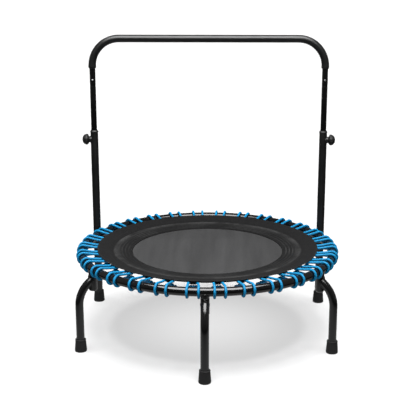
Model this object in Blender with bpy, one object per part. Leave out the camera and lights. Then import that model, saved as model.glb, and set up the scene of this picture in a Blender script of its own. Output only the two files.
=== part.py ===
"""Mini trampoline: a round tube frame on arched legs, a mat hung on bungee cords and a handlebar.

+Z is up and the origin is on the floor under the middle of the mat. The user stands on the mat
and faces +Y, where the bar is, so "left" is -X. All lengths are in metres.
"""

from math import cos, pi, radians, sin

import bmesh
import bpy
from mathutils import Matrix, Vector

GAP = 0.0003  # between two pieces that touch

# Round frame
RING_RADIUS = 0.479  # centre line of the tube
RING_HEIGHT = 0.310
FRAME_TUBE = 0.0159  # tube radius, 1.25 inch tube
RING_STEPS = 60
RING_SIDES = 10
STATION_ANGLES = {"front": -90, "right": -30, "rear": 90, "left": 210}
POST_ANGLES = {"right": 30, "left": 150}

# Sockets under the frame that the legs and posts push on to
COLLAR_RADIUS = 0.0150
COLLAR_BOTTOM = 0.2885
SPIGOT_RADIUS = 0.0138
SPIGOT_BOTTOM = 0.2465
STUB_BORE = 0.0141
STUB_BORE_BOTTOM = 0.2445
STUB_BOTTOM = 0.227
STUB_CHAMFER = 0.0045

# Arched legs
LEG_TUBE = 0.0149
LEG_RADIUS = 0.535  # from the middle of the mat to the leg's straight part
ARCH_RADIUS = 0.104
ARCH_SPRING_HEIGHT = 0.178  # where the straight part turns into the arch
ARCH_SWEEP = radians(57)
ARCH_STEPS = 6

# Rubber feet
FOOT_HEIGHT = 0.048
FOOT_FLOOR = 0.010
FOOT_BASE_RADIUS = 0.0225
FOOT_EDGE = 0.0015  # bevel round the underside
FOOT_EDGE_HEIGHT = 0.0030
FOOT_TOP_RADIUS = 0.0193
FOOT_BORE = 0.0161

# Mat, its hem with webbing tabs, and the cover round its edge
SHEET_RADIUS = 0.376
SHEET_BOTTOM = 0.3070
SHEET_TOP = 0.3084
HEM_INNER = 0.358
HEM_OUTER = 0.3787
HEM_TOP = 0.3105
TAB_WIDTH = 0.020
TAB_PLY = 0.0012
TAB_LAP = 0.0010  # on to the hem
TAB_SLACK = 0.0005  # room in the loop beside the cord
SKIRT_INNER = 0.288
SKIRT_MIDDLE = 0.370
SKIRT_OUTER = 0.422
SKIRT_THICKNESS = 0.0018
SKIRT_MIDDLE_RISE = 0.0078
SKIRT_OUTER_RISE = 0.0193

# Bungee cords
CORD_COUNT = 30
CORD_RADIUS = 0.0045
CORD_SIDES = 5
CORD_SPREAD = radians(2.2)  # each cord wraps the frame on both sides of its tab
CORD_EYE_RADIUS = 0.4063  # where the cord passes through its tab
CORD_EYE_HEIGHT = 0.3165
CORD_BEND = 0.0052
CORD_RISE = 0.0030  # from the tab to the end of the bend
CORD_END_RADIUS = 0.404
CORD_END_HEIGHT = 0.2995
WRAP_STEPS = 5
WRAP_HALF_ANGLE = radians(103)

# Handlebar
POST_RADIUS = 0.530  # from the middle of the mat to each post
POST_TUBE = 0.01525
POST_BORE = 0.0137
POST_TOP = 0.7185
ARM_TUBE = 0.0125
ARM_HEIGHT = 0.262
BAR_TUBE = 0.0116
BAR_BORE = 0.0101
UPPER_POST_BOTTOM = 0.470
JOINT_SHOULDER = 0.905  # the bar's ends stand on this shoulder of the upper posts
JOINT_SPIGOT = 0.0094
JOINT_SPIGOT_BORE = 0.0079
JOINT_SPIGOT_TOP = 0.956
JOINT_WALL_HEIGHT = 0.0020  # of full thickness under the shoulder
JOINT_TAPER = 0.0040
BAR_HEIGHT = 1.0906
BAR_BEND = 0.107
BEND_STEPS = 6
BAR_SIDES = 12
FOAM_RADIUS = 0.0150
FOAM_BORE = 0.0120
FOAM_END = 0.9745

# Bush in the mouth of each lower post
BUSH_BORE = 0.0120
BUSH_RADIUS = 0.0168
BUSH_CHAMFER = 0.0030
BUSH_TOP = 0.7268
BUSH_SLEEVE = 0.0134
BUSH_BOTTOM = 0.6975

# Clamp screws
CLAMP_HEIGHT = 0.689
BOSS_RADIUS = 0.0125
BOSS_END = 0.0190  # distance from the post's axis
STUD_RADIUS = 0.0039
STUD_END = 0.0400
KNOB_START = 0.0194
KNOB_PROFILE = (
    (0.0000, 0.0125),
    (0.0040, 0.0165),
    (0.0072, 0.0213),
    (0.0116, 0.0218),
    (0.0190, 0.0195),
    (0.0252, 0.0138),
    (0.0288, 0.0055),
)

# Snap buttons
BUTTON_HEIGHT = 0.929
BUTTON_RADIUS = 0.0033
BUTTON_PROUD = 0.0020
BUTTON_CROWN_HEIGHT = 0.0012
BUTTON_CROWN_RADIUS = 0.0020
BUTTON_FLANGE = 0.0046
BUTTON_FLANGE_FRONT = 0.0057  # distances from the post's axis
BUTTON_FLANGE_BACK = 0.0045
SPRING_WIDTH = 0.0070
SPRING_THICKNESS = 0.0006
SPRING_BACK = 0.0064  # distance behind the post's axis
SPRING_CORNER = 0.0030
SPRING_SPLAY = 0.0005
SPRING_FRONT_TOP = 0.0060  # heights from the button's axis
SPRING_BACK_TOP = -0.0040
SPRING_CORNER_TOP = -0.0260
SPRING_BOTTOM = -0.0310

ROUND_SIDES = 16
SMALL_SIDES = 12
OVERRUN = 0.1  # of a cutter past the piece it cuts


def clear_scene():
    for obj in list(bpy.data.objects):
        bpy.data.objects.remove(obj)


def principled(name, colour, roughness, metallic=0.0):
    material = bpy.data.materials.new(name)
    material.use_nodes = True
    shader = material.node_tree.nodes["Principled BSDF"]
    shader.inputs["Base Color"].default_value = (*colour, 1.0)
    shader.inputs["Roughness"].default_value = roughness
    shader.inputs["Metallic"].default_value = metallic
    return material


def new_object(name, mesh, look, parent=None, matrix=None):
    """A visible sub-part with its own material; look is (colour, roughness, metallic)."""
    obj = bpy.data.objects.new(name, mesh)
    bpy.context.scene.collection.objects.link(obj)
    # The mesh may be shared, so the material goes on the object.
    if not mesh.materials:
        mesh.materials.append(None)
    obj.material_slots[0].link = "OBJECT"
    obj.material_slots[0].material = principled(name, *look)
    obj.parent = parent
    obj.matrix_world = matrix or Matrix()


def pivot(name, location):
    empty = bpy.data.objects.new(name, None)
    bpy.context.scene.collection.objects.link(empty)
    empty.location = location
    bpy.context.view_layer.update()
    return empty


def at_angle(radius, degrees_round, height=0.0):
    angle = radians(degrees_round)
    return Vector((radius * cos(angle), radius * sin(angle), height))


def turned(degrees_round):
    return Matrix.Rotation(radians(degrees_round), 4, "Z")


# Meshes


def mesh_from(rings, closed):
    """One closed body through the rings of points; a ring of one point is a tip.

    A closed run joins its last ring to its first. An open one gets a flat cap where it
    ends on a full ring.
    """
    bm = bmesh.new()
    loops = [[bm.verts.new(point) for point in ring] for ring in rings]
    followers = loops[1:] + loops[:1] if closed else loops[1:]
    for first, second in zip(loops, followers):
        count = max(len(first), len(second))
        for i in range(count):
            j = (i + 1) % count
            corners = [first[i % len(first)], first[j % len(first)]]
            corners += [second[j % len(second)], second[i % len(second)]]
            bm.faces.new(list(dict.fromkeys(corners)))
    if not closed:
        for end in (loops[0], loops[-1]):
            if len(end) > 1:
                bm.faces.new(end)
    bmesh.ops.recalc_face_normals(bm, faces=bm.faces)
    mesh = bpy.data.meshes.new("solid")
    bm.to_mesh(mesh)
    bm.free()
    return mesh


def smooth(mesh, sharp_above=40):
    mesh.shade_smooth()
    mesh.set_sharp_from_angle(angle=radians(sharp_above))
    return mesh


def circle(radius, height, sides, phase=0.0):
    if radius < 1e-6:
        return [Vector((0.0, 0.0, height))]
    turn = [2 * pi * (i + phase) / sides for i in range(sides)]
    return [Vector((radius * cos(a), radius * sin(a), height)) for a in turn]


def lathe(profile, sides=ROUND_SIDES, closed=False):
    """A body turned about Z from (radius, height) points."""
    return mesh_from([circle(r, z, sides) for r, z in profile], closed)


def cylinder(radius, bottom, top, sides=ROUND_SIDES):
    return lathe([(radius, bottom), (radius, top)], sides)


def rings_along(path, radius, sides):
    """Circles of points square to a path, turned as little as possible from each to the next."""
    count = len(path)
    tangents = []
    for i in range(count):
        ahead = path[min(i + 1, count - 1)] - path[i]
        behind = path[i] - path[max(i - 1, 0)]
        tangents.append((ahead.normalized() + behind.normalized()).normalized())
    side = tangents[0].orthogonal().normalized()
    rings = []
    for point, tangent in zip(path, tangents):
        side = (side - side.dot(tangent) * tangent).normalized()
        other = tangent.cross(side)
        turn = [2 * pi * i / sides for i in range(sides)]
        rings.append([point + radius * (cos(a) * side + sin(a) * other) for a in turn])
    return rings


def rod(path, radius, sides):
    return mesh_from(rings_along(path, radius, sides), closed=False)


def pipe(path, radius, bore, sides):
    """A hollow tube, open at both ends."""
    outside = rings_along(path, radius, sides)
    inside = rings_along(path, bore, sides)
    return mesh_from(outside + inside[::-1], closed=True)


def extruded(outline, width):
    """A (y, z) outline given width along X, centred on the YZ plane."""
    half = width / 2
    sides = [[Vector((x, y, z)) for y, z in outline] for x in (-half, half)]
    return mesh_from(sides, closed=False)


def moved(mesh, matrix):
    mesh.transform(matrix)
    return mesh


def merged(meshes):
    """Bodies that don't touch, as one mesh to add or cut in one go."""
    bm = bmesh.new()
    for mesh in meshes:
        bm.from_mesh(mesh)
    both = bpy.data.meshes.new("group")
    bm.to_mesh(both)
    bm.free()
    return both


def combined(base, *steps):
    """The base after each (operation, mesh) step, UNION or DIFFERENCE, in order."""
    holder = bpy.data.objects.new("holder", base)
    helpers = [bpy.data.objects.new("helper", mesh) for _, mesh in steps]
    for obj in (holder, *helpers):
        bpy.context.scene.collection.objects.link(obj)
    for (operation, _), helper in zip(steps, helpers):
        modifier = holder.modifiers.new(operation.title(), "BOOLEAN")
        modifier.operation = operation
        modifier.object = helper
    bpy.context.view_layer.update()
    graph = bpy.context.evaluated_depsgraph_get()
    result = bpy.data.meshes.new_from_object(holder.evaluated_get(graph))
    for obj in (holder, *helpers):
        bpy.data.objects.remove(obj)
    return result


# Frame


def make_frame_ring():
    turn = [360.0 * i / RING_STEPS for i in range(RING_STEPS)]
    section = circle(FRAME_TUBE, 0.0, RING_SIDES, phase=0.5)
    rings = []
    for angle in turn:
        rings.append([at_angle(RING_RADIUS + p.x, angle, RING_HEIGHT + p.y) for p in section])
    socket = lathe(
        [
            (0.0, RING_HEIGHT),
            (COLLAR_RADIUS, RING_HEIGHT),
            (COLLAR_RADIUS, COLLAR_BOTTOM),
            (SPIGOT_RADIUS, COLLAR_BOTTOM),
            (SPIGOT_RADIUS, SPIGOT_BOTTOM),
            (0.0, SPIGOT_BOTTOM),
        ],
        SMALL_SIDES,
    )
    stations = (*STATION_ANGLES.values(), *POST_ANGLES.values())
    places = [Matrix.Translation(at_angle(RING_RADIUS, angle)) for angle in stations]
    sockets = merged([moved(socket.copy(), place) for place in places])
    mesh = combined(mesh_from(rings, closed=True), ("UNION", sockets))
    new_object("frame_ring", smooth(mesh), ((0.010, 0.010, 0.011), 0.22, 0.0))


def make_stub():
    """The closed-ended tube that pushes up on to a socket, about the local Z axis."""
    return lathe(
        [
            (0.0, STUB_BOTTOM),
            (FRAME_TUBE - STUB_CHAMFER, STUB_BOTTOM),
            (FRAME_TUBE, STUB_BOTTOM + STUB_CHAMFER),
            (FRAME_TUBE, COLLAR_BOTTOM - GAP),
            (0.0, COLLAR_BOTTOM - GAP),
        ],
        SMALL_SIDES,
    )


def make_stub_bore():
    return cylinder(STUB_BORE, STUB_BORE_BOTTOM, RING_HEIGHT, SMALL_SIDES)


def leg_path():
    """Up the straight part and over the arch to the stub's axis, in the XZ plane."""
    arch_middle = LEG_RADIUS - ARCH_RADIUS
    path = [Vector((LEG_RADIUS, 0.0, FOOT_FLOOR + GAP))]
    for i in range(ARCH_STEPS + 1):
        angle = ARCH_SWEEP * i / ARCH_STEPS
        height = ARCH_SPRING_HEIGHT + ARCH_RADIUS * sin(angle)
        path.append(Vector((arch_middle + ARCH_RADIUS * cos(angle), 0.0, height)))
    return path


def make_legs():
    at_ring = Matrix.Translation((RING_RADIUS, 0.0, 0.0))
    mesh = combined(
        moved(make_stub(), at_ring),
        ("UNION", rod(leg_path(), LEG_TUBE, SMALL_SIDES)),
        ("DIFFERENCE", moved(make_stub_bore(), at_ring)),
    )
    smooth(mesh)
    for name, angle in STATION_ANGLES.items():
        look = ((0.012, 0.012, 0.012), 0.38, 0.0)
        new_object(f"{name}_leg", mesh, look, matrix=turned(angle))


def make_feet():
    mesh = lathe(
        [
            (0.0, 0.0),
            (FOOT_BASE_RADIUS - FOOT_EDGE, 0.0),
            (FOOT_BASE_RADIUS, FOOT_EDGE_HEIGHT),
            (FOOT_TOP_RADIUS, FOOT_HEIGHT),
            (FOOT_BORE, FOOT_HEIGHT),
            (FOOT_BORE, FOOT_FLOOR),
            (0.0, FOOT_FLOOR),
        ],
        SMALL_SIDES,
    )
    smooth(mesh, sharp_above=60)
    look = ((0.009, 0.009, 0.009), 0.75, 0.0)
    for name, angle in STATION_ANGLES.items():
        place = Matrix.Translation(at_angle(LEG_RADIUS, angle)) @ turned(angle)
        new_object(f"{name}_foot", mesh, look, matrix=place)
    for name, angle in POST_ANGLES.items():
        place = Matrix.Translation(at_angle(POST_RADIUS, angle)) @ turned(angle)
        new_object(f"{name}_post_foot", mesh, look, matrix=place)


# Mat


def make_mat_sheet():
    mesh = cylinder(SHEET_RADIUS, SHEET_BOTTOM, SHEET_TOP, RING_STEPS)
    new_object("mat_sheet", mesh, ((0.085, 0.085, 0.087), 0.70, 0.0), parent=mat_pivot)


def make_tab():
    """A webbing loop with room for the cord, and the strap from it to the hem, at angle zero."""
    room = CORD_RADIUS + GAP
    outer = CORD_EYE_RADIUS + room + TAB_SLACK
    inner = CORD_EYE_RADIUS - room - TAB_SLACK
    low, high = CORD_EYE_HEIGHT - room, CORD_EYE_HEIGHT + room
    inside = [(inner, low), (outer, low), (outer, high), (inner, high)]
    low, high = low - TAB_PLY, high + TAB_PLY
    inner, outer = inner - TAB_PLY, outer + TAB_PLY
    outside = [(inner, low), (outer, low), (outer, high), (inner, high)]
    half = TAB_WIDTH / 2
    rings = []
    for outline, side in ((outside, -half), (outside, half), (inside, half), (inside, -half)):
        rings.append([Vector((x, side, z)) for x, z in outline])
    strap = [
        (HEM_OUTER - TAB_LAP, SHEET_TOP + GAP),
        (inner + TAB_PLY / 2, CORD_EYE_HEIGHT - TAB_PLY),
        (inner + TAB_PLY / 2, CORD_EYE_HEIGHT + TAB_PLY),
        (HEM_OUTER - TAB_LAP, HEM_TOP),
    ]
    strap_ends = [[Vector((x, side, z)) for x, z in strap] for side in (-half, half)]
    return mesh_from(rings, closed=True), mesh_from(strap_ends, closed=False)


def make_mat_hem():
    band = lathe(
        [
            (HEM_INNER, SHEET_TOP + GAP),
            (HEM_OUTER, SHEET_TOP + GAP),
            (HEM_OUTER, HEM_TOP),
            (HEM_INNER, HEM_TOP),
        ],
        CORD_COUNT,
        closed=True,
    )
    turns = [turned(360.0 * i / CORD_COUNT) for i in range(CORD_COUNT)]
    loops, straps = (merged([moved(piece.copy(), t) for t in turns]) for piece in make_tab())
    mesh = combined(band, ("UNION", straps), ("UNION", loops))
    new_object("mat_hem", mesh, ((0.012, 0.012, 0.013), 0.80, 0.0), parent=mat_pivot)


def make_mat_skirt():
    base = SHEET_TOP + GAP
    underside = [
        (SKIRT_INNER, base),
        (SKIRT_MIDDLE, base + SKIRT_MIDDLE_RISE),
        (SKIRT_OUTER, base + SKIRT_OUTER_RISE),
    ]
    top = [(r, z + SKIRT_THICKNESS) for r, z in underside]
    mesh = lathe(underside + top[::-1], RING_STEPS, closed=True)
    look = ((0.016, 0.016, 0.017), 0.45, 0.0)
    new_object("mat_skirt", smooth(mesh), look, parent=mat_pivot)


# Cords


def half_cord(side):
    """From the tab, over the frame tube, round it and back underneath, in the frame of angle zero."""

    def on_wrap(radius, height):
        turn = side * CORD_SPREAD
        return Vector((radius * cos(turn), radius * sin(turn), height))

    eye = CORD_EYE_RADIUS
    reach = eye * sin(CORD_SPREAD)
    in_bend = CORD_BEND * (1 - cos(pi / 4))
    points = [
        Vector((eye, side * (reach - CORD_BEND), CORD_EYE_HEIGHT)),
        Vector((eye + in_bend, side * (reach - in_bend), CORD_EYE_HEIGHT)),
        on_wrap(eye + CORD_BEND, CORD_EYE_HEIGHT + CORD_RISE),
    ]
    step = 2 * WRAP_HALF_ANGLE / WRAP_STEPS
    clear = FRAME_TUBE + CORD_RADIUS + GAP
    wrap_radius = clear / cos(step / 2)  # so that the flats between the points stay clear
    for i in range(WRAP_STEPS + 1):
        angle = WRAP_HALF_ANGLE - i * step
        radius = RING_RADIUS + wrap_radius * cos(angle)
        points.append(on_wrap(radius, RING_HEIGHT + wrap_radius * sin(angle)))
    points.append(on_wrap(CORD_END_RADIUS, CORD_END_HEIGHT))
    return points


def make_cords():
    path = half_cord(-1)[::-1] + half_cord(1)
    mesh = smooth(rod(path, CORD_RADIUS, CORD_SIDES), sharp_above=80)
    pitch = 360.0 / CORD_COUNT
    for i in range(CORD_COUNT):
        angle = STATION_ANGLES["front"] + pitch * (i + 0.5)
        look = ((0.012, 0.290, 0.640), 0.50, 0.0)
        new_object(f"cord_{i + 1:02d}", mesh, look, matrix=turned(angle))


# Handlebar


def lower_post_mesh(angle, outwards):
    """Post, stub, the arm between them and the clamp's boss; outwards is +1 or -1 along X."""
    post = at_angle(POST_RADIUS, angle)
    stub = at_angle(RING_RADIUS, angle)
    at_post, at_stub = Matrix.Translation(post), Matrix.Translation(stub)
    lift = Vector((0.0, 0.0, ARM_HEIGHT))
    arm = rod([stub + lift, post + lift], ARM_TUBE, SMALL_SIDES)
    side = Matrix.Translation(post + Vector((0.0, 0.0, CLAMP_HEIGHT)))
    side = side @ Matrix.Rotation(outwards * pi / 2, 4, "Y")
    boss = moved(cylinder(BOSS_RADIUS, 0.0, BOSS_END), side)
    hole = moved(cylinder(STUD_RADIUS + GAP, 0.0, 2 * BOSS_END, SMALL_SIDES), side)
    bottom = FOOT_FLOOR + GAP
    return combined(
        moved(cylinder(POST_TUBE, bottom, POST_TOP), at_post),
        ("UNION", arm),
        ("UNION", moved(make_stub(), at_stub)),
        ("UNION", boss),
        ("DIFFERENCE", moved(cylinder(POST_BORE, -OVERRUN, POST_TOP + OVERRUN), at_post)),
        ("DIFFERENCE", moved(make_stub_bore(), at_stub)),
        ("DIFFERENCE", hole),
    )


def make_lower_post(name, angle, outwards):
    mesh = smooth(lower_post_mesh(angle, outwards))
    new_object(f"{name}_lower_post", mesh, ((0.012, 0.012, 0.012), 0.36, 0.0))


def make_bush(name, post):
    mesh = lathe(
        [
            (BUSH_BORE, BUSH_BOTTOM),
            (BUSH_SLEEVE, BUSH_BOTTOM),
            (BUSH_SLEEVE, POST_TOP + GAP),
            (BUSH_RADIUS, POST_TOP + GAP),
            (BUSH_RADIUS, BUSH_TOP - BUSH_CHAMFER),
            (BUSH_RADIUS - BUSH_CHAMFER, BUSH_TOP),
            (BUSH_BORE, BUSH_TOP),
        ],
        closed=True,
    )
    look = ((0.014, 0.014, 0.014), 0.50, 0.0)
    new_object(f"{name}_post_bush", smooth(mesh), look, matrix=Matrix.Translation(post))


def make_clamp(name, post, outwards):
    """The screw's stud and its knob, both about the screw's axis through the boss."""
    axis_point = post + Vector((0.0, 0.0, CLAMP_HEIGHT))
    screw = pivot(f"{name}_clamp_axis", axis_point)
    place = Matrix.Translation(axis_point) @ Matrix.Rotation(outwards * pi / 2, 4, "Y")
    stud = cylinder(STUD_RADIUS, BAR_TUBE + GAP, STUD_END, SMALL_SIDES)
    stud_look = ((0.45, 0.45, 0.46), 0.35, 1.0)
    new_object(f"{name}_clamp_stud", smooth(stud), stud_look, screw, place)
    bore = STUD_RADIUS + GAP
    profile = [(0.0, STUD_END + GAP), (bore, STUD_END + GAP), (bore, KNOB_START)]
    profile += [(radius, KNOB_START + along) for along, radius in KNOB_PROFILE]
    profile.append((0.0, KNOB_START + KNOB_PROFILE[-1][0]))
    knob = lathe(profile, SMALL_SIDES)
    knob_look = ((0.012, 0.012, 0.012), 0.42, 0.0)
    new_object(f"{name}_clamp_knob", smooth(knob), knob_look, screw, place)


def button_hole(post):
    """A cutter through the front wall only, towards -Y."""
    hole = cylinder(BUTTON_RADIUS + GAP, 0.0, 2 * BAR_TUBE, SMALL_SIDES)
    turn = Matrix.Rotation(pi / 2, 4, "X")
    return moved(hole, Matrix.Translation(post + Vector((0.0, 0.0, BUTTON_HEIGHT))) @ turn)


def make_upper_post(name, post):
    tube = lathe(
        [
            (BAR_TUBE, UPPER_POST_BOTTOM),
            (BAR_TUBE, JOINT_SHOULDER),
            (JOINT_SPIGOT, JOINT_SHOULDER),
            (JOINT_SPIGOT, JOINT_SPIGOT_TOP),
            (JOINT_SPIGOT_BORE, JOINT_SPIGOT_TOP),
            (JOINT_SPIGOT_BORE, JOINT_SHOULDER - JOINT_WALL_HEIGHT),
            (BAR_BORE, JOINT_SHOULDER - JOINT_WALL_HEIGHT - JOINT_TAPER),
            (BAR_BORE, UPPER_POST_BOTTOM),
        ],
        BAR_SIDES,
        closed=True,
    )
    mesh = combined(moved(tube, Matrix.Translation(post)), ("DIFFERENCE", button_hole(post)))
    look = ((0.012, 0.012, 0.012), 0.36, 0.0)
    new_object(f"{name}_upper_post", smooth(mesh), look, parent=bar_pivot)


def bar_path(start_height):
    """Up the left side, across the top and down the right side, over round bends."""
    left, right = (at_angle(POST_RADIUS, POST_ANGLES[side]) for side in ("left", "right"))
    spring = BAR_HEIGHT - BAR_BEND
    path = [Vector((left.x, left.y, start_height))]
    for i in range(BEND_STEPS + 1):
        angle = pi - i * pi / 2 / BEND_STEPS
        across = left.x + BAR_BEND + BAR_BEND * cos(angle)
        path.append(Vector((across, left.y, spring + BAR_BEND * sin(angle))))
    path += [Vector((-p.x, right.y, p.z)) for p in reversed(path)]
    return path


def make_handlebar(posts):
    tube = pipe(bar_path(JOINT_SHOULDER + GAP), BAR_TUBE, BAR_BORE, BAR_SIDES)
    holes = merged([button_hole(post) for post in posts.values()])
    bar_look = ((0.012, 0.012, 0.012), 0.36, 0.0)
    bar = smooth(combined(tube, ("DIFFERENCE", holes)))
    new_object("handlebar_tube", bar, bar_look, parent=bar_pivot)
    foam = smooth(pipe(bar_path(FOAM_END), FOAM_RADIUS, FOAM_BORE, BAR_SIDES))
    new_object("foam_grip", foam, ((0.030, 0.030, 0.031), 0.62, 0.0), parent=bar_pivot)


def make_snap_button(name, post):
    """A round steel button that stands out of the bar towards -Y, on its flange."""
    front = BAR_TUBE + BUTTON_PROUD
    button = lathe(
        [
            (0.0, BUTTON_FLANGE_BACK),
            (BUTTON_FLANGE, BUTTON_FLANGE_BACK),
            (BUTTON_FLANGE, BUTTON_FLANGE_FRONT),
            (BUTTON_RADIUS, BUTTON_FLANGE_FRONT),
            (BUTTON_RADIUS, front - BUTTON_CROWN_HEIGHT),
            (BUTTON_CROWN_RADIUS, front),
            (0.0, front),
        ],
        SMALL_SIDES,
    )
    axis_point = post + Vector((0.0, 0.0, BUTTON_HEIGHT))
    slide = pivot(f"{name}_button_axis", axis_point)
    place = Matrix.Translation(axis_point) @ Matrix.Rotation(pi / 2, 4, "X")
    look = ((0.55, 0.55, 0.56), 0.30, 1.0)
    new_object(f"{name}_snap_button", smooth(button), look, slide, place)


def make_button_spring(name, post):
    """A folded leaf inside the spigot; y is measured from the post's axis, z from the button."""
    thick, corner = SPRING_THICKNESS, SPRING_CORNER
    front, back = -BUTTON_FLANGE_BACK + GAP, SPRING_BACK
    splayed = front + SPRING_SPLAY
    outline = [
        (front, SPRING_FRONT_TOP),
        (splayed, SPRING_CORNER_TOP),
        (front + corner, SPRING_BOTTOM),
        (back - corner, SPRING_BOTTOM),
        (back, SPRING_CORNER_TOP),
        (back, SPRING_BACK_TOP),
        (back - thick, SPRING_BACK_TOP),
        (back - thick, SPRING_CORNER_TOP + thick),
        (back - corner, SPRING_BOTTOM + thick),
        (front + corner, SPRING_BOTTOM + thick),
        (splayed + thick, SPRING_CORNER_TOP + thick),
        (front + thick, SPRING_FRONT_TOP),
    ]
    mesh = extruded(outline, SPRING_WIDTH)
    place = Matrix.Translation(post + Vector((0.0, 0.0, BUTTON_HEIGHT)))
    look = ((0.45, 0.46, 0.48), 0.32, 1.0)
    new_object(f"{name}_button_spring", moved(mesh, place), look, parent=bar_pivot)


clear_scene()
mat_pivot = pivot("mat_axis", (0.0, 0.0, SHEET_TOP))
bar_pivot = pivot("handlebar_axis", (0.0, at_angle(POST_RADIUS, POST_ANGLES["left"]).y, POST_TOP))
make_frame_ring()
make_legs()
make_feet()
make_mat_sheet()
make_mat_hem()
make_mat_skirt()
make_cords()
post_feet = {side: at_angle(POST_RADIUS, angle) for side, angle in POST_ANGLES.items()}
make_handlebar(post_feet)
for side, foot in post_feet.items():
    away = 1 if foot.x > 0 else -1
    make_lower_post(side, POST_ANGLES[side], away)
    make_bush(side, foot)
    make_clamp(side, foot, away)
    make_upper_post(side, foot)
    make_snap_button(side, foot)
    make_button_spring(side, foot)
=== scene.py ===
"""Looks of a mini trampoline: a round tube frame on arched legs, a mat on bungee cords, a handlebar.

Metres, +Z up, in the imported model's frame. The origin is on the floor under the middle of the
mat, and the user faces +Y, where the bar is. Each detailed piece here stands for the plain
solids of the same place, and keeps their sizes.
"""

import random
from math import cos, degrees, exp, hypot, pi, radians, sin, sqrt

import bmesh
import bpy
from mathutils import Matrix, Vector, noise


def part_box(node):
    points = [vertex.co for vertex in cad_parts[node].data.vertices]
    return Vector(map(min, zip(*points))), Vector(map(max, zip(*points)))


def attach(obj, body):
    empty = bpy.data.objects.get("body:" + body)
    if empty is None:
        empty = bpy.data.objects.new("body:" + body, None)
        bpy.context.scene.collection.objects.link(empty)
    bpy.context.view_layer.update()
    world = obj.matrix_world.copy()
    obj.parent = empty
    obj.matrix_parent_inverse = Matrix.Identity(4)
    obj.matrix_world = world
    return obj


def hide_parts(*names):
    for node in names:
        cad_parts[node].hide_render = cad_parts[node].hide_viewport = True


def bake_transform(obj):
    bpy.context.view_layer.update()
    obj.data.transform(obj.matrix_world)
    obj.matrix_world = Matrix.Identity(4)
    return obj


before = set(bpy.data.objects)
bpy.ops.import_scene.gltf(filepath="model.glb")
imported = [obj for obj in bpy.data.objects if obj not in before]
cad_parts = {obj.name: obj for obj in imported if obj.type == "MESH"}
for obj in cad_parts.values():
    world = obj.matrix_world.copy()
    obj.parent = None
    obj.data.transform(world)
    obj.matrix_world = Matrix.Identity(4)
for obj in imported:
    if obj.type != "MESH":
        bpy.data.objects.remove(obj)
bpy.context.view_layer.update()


def middle(node):
    """The middle of a CAD node's box."""
    low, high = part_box(node)
    return (low + high) / 2


def below(node):
    """From the origin to the floor under the middle of a CAD node."""
    spot = middle(node)
    return Matrix.Translation((spot.x, spot.y, 0.0))


UP = Vector((0.0, 0.0, 1.0))
BACKWARDS = Vector((0.0, 1.0, 0.0))  # away from the viewer
GAP = 0.0003  # between two pieces that touch

# Round frame
RING_RADIUS = 0.479  # centre line of the tube
RING_HEIGHT = 0.310
FRAME_TUBE = 0.0159
STATION_ANGLES = {"front": -90, "right": -30, "rear": 90, "left": 210}
POST_ANGLES = {"right": 30, "left": 150}
SOCKET_ANGLES = (*STATION_ANGLES.values(), *POST_ANGLES.values())

# Sockets that the legs and posts push on to
COLLAR_RADIUS = 0.0150
COLLAR_TOP = 0.306  # inside the ring's tube
COLLAR_BOTTOM = 0.2885
SPIGOT_RADIUS = 0.0138
SPIGOT_BOTTOM = 0.2465
STUB_BOTTOM = 0.227
STUB_CHAMFER = 0.0045
STUB_FLOOR = SPIGOT_BOTTOM - 0.002
BOLT_HEIGHT = 0.2838
BOLT_RADIUS = 0.0042
BOLT_RISE = 0.0024

# Arched legs
LEG_TUBE = 0.0149
LEG_RADIUS = middle("rear_foot").y
ARCH_RADIUS = 0.104
ARCH_SPRING_HEIGHT = 0.178
ARCH_SWEEP = radians(62)
BEAD = 0.0019  # radius of a weld bead

# Rubber feet
FOOT_HEIGHT = 0.048
FOOT_FLOOR = 0.010
FOOT_BASE_RADIUS = 0.0225
FOOT_TOP_RADIUS = 0.0193

# Mat, hem and cover
SHEET_RADIUS = 0.376
SHEET_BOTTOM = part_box("mat_sheet")[0].z
SHEET_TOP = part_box("mat_sheet")[1].z
MAT_UNEVEN = 0.00015
HEM_INNER = 0.358
HEM_OUTER = 0.3787
HEM_TOP = 0.3105
TAB_WIDTH = 0.020
TAB_PLY = 0.0012
TAB_LOOP = radians(300)  # how far a tab's end goes round its cord
TAB_NECK = 0.0115  # from the cord to where the two plies meet
TAB_ROUNDING = 0.0003
COVER_INNER = 0.288
COVER_MIDDLE = 0.370
COVER_OUTER = 0.422
COVER_THICKNESS = 0.0015
COVER_BASE = SHEET_TOP + GAP + COVER_THICKNESS  # where its top would be if it lay flat
COVER_MIDDLE_RISE = 0.0078
COVER_OUTER_RISE = 0.0193
CREASE_RADIUS = 0.356
CREASE_WIDTH = 0.0034
CREASE_RISE = 0.0011
TROUGH_DEPTH = 0.0005  # just outside the crease
RIPPLE = 0.0125  # from one ripple inside the crease to the next
RIPPLE_RISE = 0.0009
FOLD_RISE = 0.0005
BULGE_RISE = 0.0009
CORD_LIFT = 0.0010  # the cover's edge rises over each cord
CORD_MARK = 0.020  # and how far round, in radians
COVER_EDGE = 0.0022  # its inner edge is rounded this far in
STITCH_SHARE = 0.72  # a stitch's share of its pitch
THREAD_RADIUS = 0.00038

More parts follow.
